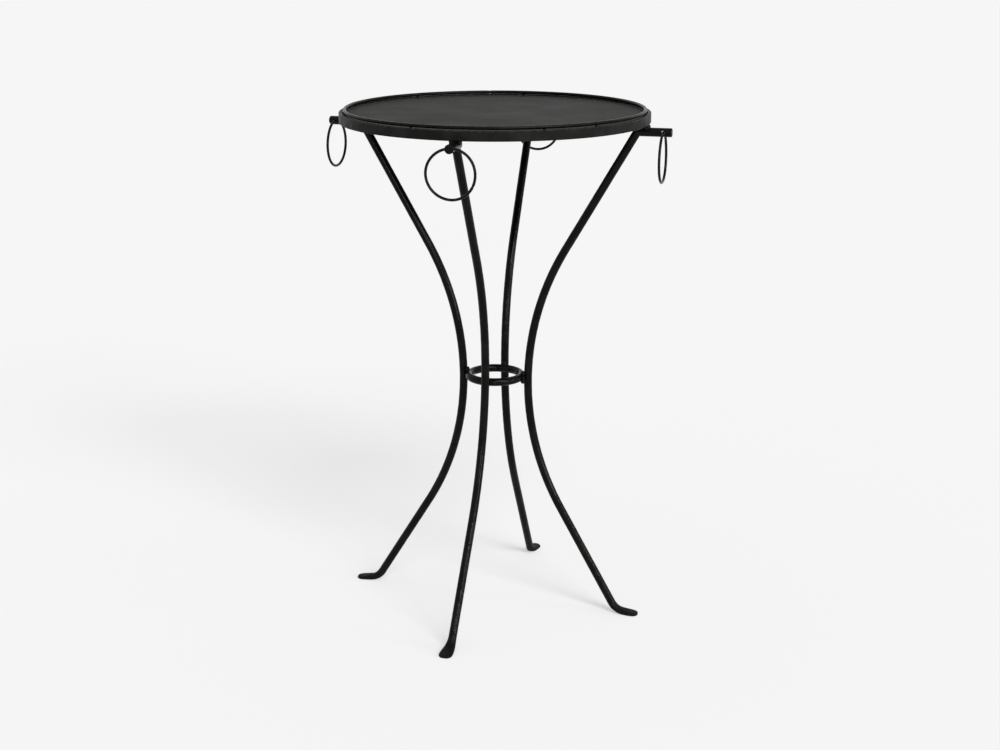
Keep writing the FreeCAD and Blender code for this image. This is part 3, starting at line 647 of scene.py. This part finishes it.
def bead_form():
    """A row of ripples on each point, along its heading, as long as its reach says."""
    form = Form("rippled_beads", ripples="whole", seed="whole", pit="float", pit_size="float")
    given, maths = form.given, form.maths
    gaps = maths("SUBTRACT", given["ripples"], 1.0)
    offset = form.use("ShaderNodeCombineXYZ", {"X": maths("DIVIDE", -2 * ROW_START, gaps)})
    row = form.use("GeometryNodeMeshLine",
                   {"Count": given["ripples"], "Start Location": (ROW_START, 0.0, 0.0),
                    "Offset": offset}, mode="OFFSET")
    along = form.axis_of(form.place, "X")
    girth = maths("SQRT", maths("SUBTRACT", 1.0, maths("MULTIPLY", along, along)))
    ball = form.use("GeometryNodeMeshUVSphere",
                    {"Segments": RIPPLE_SEGMENTS, "Rings": RIPPLE_RINGS, "Radius": 1.0})
    size = form.use("ShaderNodeCombineXYZ", {"X": RIPPLE_LENGTH, "Y": girth, "Z": girth})
    bead = form.use("GeometryNodeInstanceOnPoints",
                    {"Points": row, "Instance": ball, "Scale": size})
    bead = form.use("GeometryNodeRealizeInstances", {"Geometry": bead})
    heading, reach = (form.use("GeometryNodeInputNamedAttribute", {"Name": name}, data_type=kind)
                      for name, kind in (("heading", "FLOAT_VECTOR"), ("reach", "FLOAT")))
    turned = form.use("FunctionNodeAlignRotationToVector", {"Vector": heading}, axis="X")
    uneven = form.use("FunctionNodeRandomValue",
                      {RANDOM_LEAST: LEAST_BEAD, RANDOM_MOST: MOST_BEAD, "Seed": given["seed"]},
                      RANDOM_VALUE, data_type="FLOAT")
    beads = form.use("GeometryNodeInstanceOnPoints",
                     {"Points": given["Geometry"], "Instance": bead, "Rotation": turned,
                      "Scale": maths("MULTIPLY", reach, uneven)})
    beads = form.use("GeometryNodeRealizeInstances", {"Geometry": beads})
    pitted = form.noise(form.place, maths("DIVIDE", 1.0, given["pit_size"]))
    pits = form.spread(pitted, *PIT_EDGES)
    return form.finish(form.dented(beads, maths("MULTIPLY", pits, given["pit"])))


def lumps(name):
    """Middle and half width of each separate solid in a node, found by joining its edges' ends."""
    mesh = nodes[name].data
    leader, spots = {}, [tuple(round(value, 6) for value in v.co) for v in mesh.vertices]

    def first_of(spot):
        while leader.setdefault(spot, spot) != spot:
            spot = leader[spot]
        return spot

    for edge in mesh.edges:
        one, other = (first_of(spots[index]) for index in edge.vertices)
        leader[one] = other
    groups = {}
    for spot in set(spots):
        groups.setdefault(first_of(spot), []).append(Vector(spot))
    found = []
    for group in groups.values():
        low, high = corners_of(group)
        found.append(((low + high) / 2, max(high - low) / 2))
    return sorted(found, key=lambda lump: tuple(lump[0]))


def round_axis(spot):
    """Heading round the table's upright axis."""
    return UP.cross(Vector((spot.x, spot.y, 0))).normalized()


def outwards(spot):
    """Heading away from the table's upright axis."""
    return Vector((spot.x, spot.y, 0)).normalized()


NEAR_TOP_SHARE = 0.99


def round_leg(spot):
    """Heading round the top of the nearest leg."""
    legs = ["leg_" + side for side in SIDES]
    tops = [bar_middle(leg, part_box(leg)[1].z * NEAR_TOP_SHARE) for leg in legs]
    top = min(tops, key=lambda point: (point.xy - spot.xy).length)
    return UP.cross(Vector((spot.x - top.x, spot.y - top.y, 0))).normalized()


BEAD_FORM = bead_form()


def make_beads(name, heading_at, ripples, seed):
    """Puts a rippled bead on each solid of a weld node, along the heading given for its place."""
    found = lumps(name)
    start = bpy.data.meshes.new(name + "_spots")
    start.from_pydata([tuple(middle) for middle, reach in found], [], [])
    start.attributes.new("heading", "FLOAT_VECTOR", "POINT")
    start.attributes.new("reach", "FLOAT", "POINT")
    for index, (middle, reach) in enumerate(found):
        start.attributes["heading"].data[index].vector = heading_at(middle)
        start.attributes["reach"].data[index].value = reach
    beads = grow("rippled_" + name, BEAD_FORM, start, ripples=ripples, seed=seed,
                 pit=PIT_DEPTH, pit_size=PIT_SIZE, paint=WELD_PAINT)
    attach(beads, "frame")
    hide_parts(name)


make_beads("leg_top_welds", round_leg, ripples=5, seed=3)
make_beads("peg_welds", outwards, ripples=5, seed=5)
make_beads("waist_welds", lambda spot: UP, ripples=6, seed=8)
make_beads("lip_tacks", round_axis, ripples=3, seed=13)


# Studio: pale floor and surround, soft lamps and the photo's camera

# Levels, in linear light: the photo's ground, and the paper that takes the shadow
PALE, PAPER = 0.922, 0.96
FLOOR_REACH = 60.0


def pale_floor(plain_share):
    """White paper that shows the table's shadow; to the camera a share of it is plain pale."""
    mesh = bpy.data.meshes.new("floor")
    corners = [(x * FLOOR_REACH, y * FLOOR_REACH, 0)
               for x, y in ((-1, -1), (1, -1), (1, 1), (-1, 1))]
    mesh.from_pydata(corners, [], [(0, 1, 2, 3)])
    floor = bpy.data.objects.new("floor", mesh)
    bpy.context.scene.collection.objects.link(floor)
    material = bpy.data.materials.new("floor_paper")
    material.use_nodes = True
    paper = Graph(material.node_tree)
    shader = paper.tree.nodes["Principled BSDF"]
    shader.inputs["Base Color"].default_value = (PAPER, PAPER, PAPER, 1)
    shader.inputs["Roughness"].default_value = 1.0
    shader.inputs["Specular IOR Level"].default_value = 0.0
    plain = paper.use("ShaderNodeEmission", {"Color": (1, 1, 1, 1), "Strength": PALE})
    seen = paper.use("ShaderNodeLightPath", out="Is Camera Ray")
    share = paper.maths("MULTIPLY", seen, plain_share)
    both = paper.use("ShaderNodeMixShader", {0: share, 1: shader.outputs[0], 2: plain})
    paper.feed(paper.tree.nodes["Material Output"].inputs["Surface"], both)
    mesh.materials.append(material)


def pale_world(soft):
    """The surround shows pale to the camera and in reflections, and lights at a softer level."""
    world = bpy.data.worlds.new("studio")
    bpy.context.scene.world = world
    world.use_nodes = True
    world.node_tree.nodes.clear()
    sky = Graph(world.node_tree)
    rays = world.node_tree.nodes.new("ShaderNodeLightPath").outputs
    seen = sky.maths("MAXIMUM", rays["Is Camera Ray"], rays["Is Glossy Ray"])
    seen = sky.maths("MAXIMUM", seen, rays["Is Transmission Ray"])
    levels = {"Value": seen, "To Min": soft, "To Max": PALE}
    level = sky.use("ShaderNodeMapRange", levels, "Result")
    light = sky.use("ShaderNodeBackground", {"Color": (1, 1, 1, 1), "Strength": level})
    sky.feed(sky.tree.nodes.new("ShaderNodeOutputWorld").inputs["Surface"], light)


def sun(name, towards_light, strength, spread):
    """Distant soft lamp; towards_light points from the table to the lamp."""
    lamp = bpy.data.lights.new(name, "SUN")
    lamp.energy = strength
    lamp.angle = math.radians(spread)
    holder = bpy.data.objects.new(name, lamp)
    holder.rotation_mode = "QUATERNION"
    holder.rotation_quaternion = Vector(towards_light).to_track_quat("Z", "Y")
    bpy.context.scene.collection.objects.link(holder)


# The camera, as fitted to the photo, to the right of the front leg and a little above the top.
LEG_TURN = math.radians(16.7955)
CAMERA_REACH, CAMERA_HEIGHT = 2.30103, 1.02054
CAMERA_DROP, CAMERA_PAN = math.radians(16.1054), math.radians(0.1769)
SENSOR_WIDTH, LENS_SHARE, CLIP_END = 36.0, 1.621155, 200.0


def photo_camera():
    data = bpy.data.cameras.new("photo_camera")
    data.sensor_width = SENSOR_WIDTH
    data.lens = SENSOR_WIDTH * LENS_SHARE
    data.clip_end = CLIP_END
    camera = bpy.data.objects.new("photo_camera", data)
    heading = LEG_TURN - CAMERA_PAN
    look = Vector((-math.sin(heading) * math.cos(CAMERA_DROP),
                   math.cos(heading) * math.cos(CAMERA_DROP), -math.sin(CAMERA_DROP)))
    camera.location = (CAMERA_REACH * math.sin(LEG_TURN), -CAMERA_REACH * math.cos(LEG_TURN),
                       CAMERA_HEIGHT)
    camera.rotation_mode = "QUATERNION"
    camera.rotation_quaternion = look.to_track_quat("-Z", "Y")
    bpy.context.scene.collection.objects.link(camera)
    bpy.context.scene.camera = camera


def from_camera(turn, rise):
    """Direction turned to the right of the camera's own side, and raised, in degrees."""
    heading = LEG_TURN + math.radians(turn)
    rise = math.radians(rise)
    return (math.sin(heading) * math.cos(rise), -math.cos(heading) * math.cos(rise), math.sin(rise))


pale_floor(plain_share=0.46)
pale_world(soft=0.415)
sun("key", from_camera(turn=22.0, rise=44.0), strength=1.35, spread=26.0)
sun("upper_strip", from_camera(turn=38.0, rise=31.0), strength=1.0, spread=18.0)
sun("right_strip", from_camera(turn=46.0, rise=7.0), strength=0.6, spread=13.0)
sun("side_strip", from_camera(turn=73.0, rise=12.0), strength=0.55, spread=13.0)
sun("middle_strip", from_camera(turn=2.0, rise=11.0), strength=0.4, spread=12.0)
photo_camera()
bpy.context.scene.view_settings.view_transform = "Standard"
